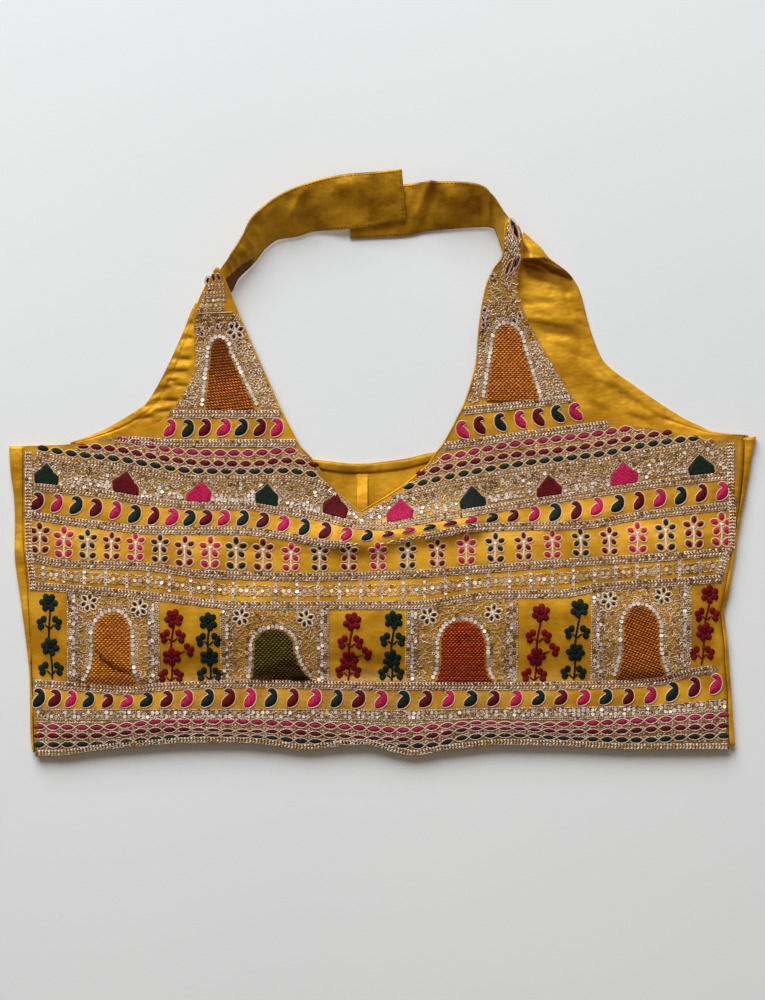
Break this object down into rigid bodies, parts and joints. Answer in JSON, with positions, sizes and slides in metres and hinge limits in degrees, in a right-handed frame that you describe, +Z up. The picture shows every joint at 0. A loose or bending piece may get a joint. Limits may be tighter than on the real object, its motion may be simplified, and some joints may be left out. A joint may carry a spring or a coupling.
{
  "type": "choli blouse",
  "caption": "Halter-neck choli blouse in mustard satin with an embroidered front, laid flat with its front up and its straps behind the neck.",
  "frame": {"origin": "centre of the laid garment's outline, on the surface that it lies on", "axes": "+X across the garment to the right of a viewer looking down at it, +Y towards the neck, +Z up from the surface"},
  "size_m": [0.4491, 0.3516, 0.017],
  "materials": {
    "embroidered_satin": "mustard satin covered in beige-pink zari braid, satin stitch and sequins",
    "mustard_satin": "soft satin"
  },
  "bodies": {
    "root": {"front_face": "embroidered_satin", "back_panel": "mustard_satin", "back_neck_hem": "mustard_satin", "back_placket": "mustard_satin", "armhole_panel_left": "mustard_satin", "armhole_panel_right": "mustard_satin", "halter_strap_left": "mustard_satin", "halter_strap_right": "mustard_satin"}
  },
  "joints": []
}
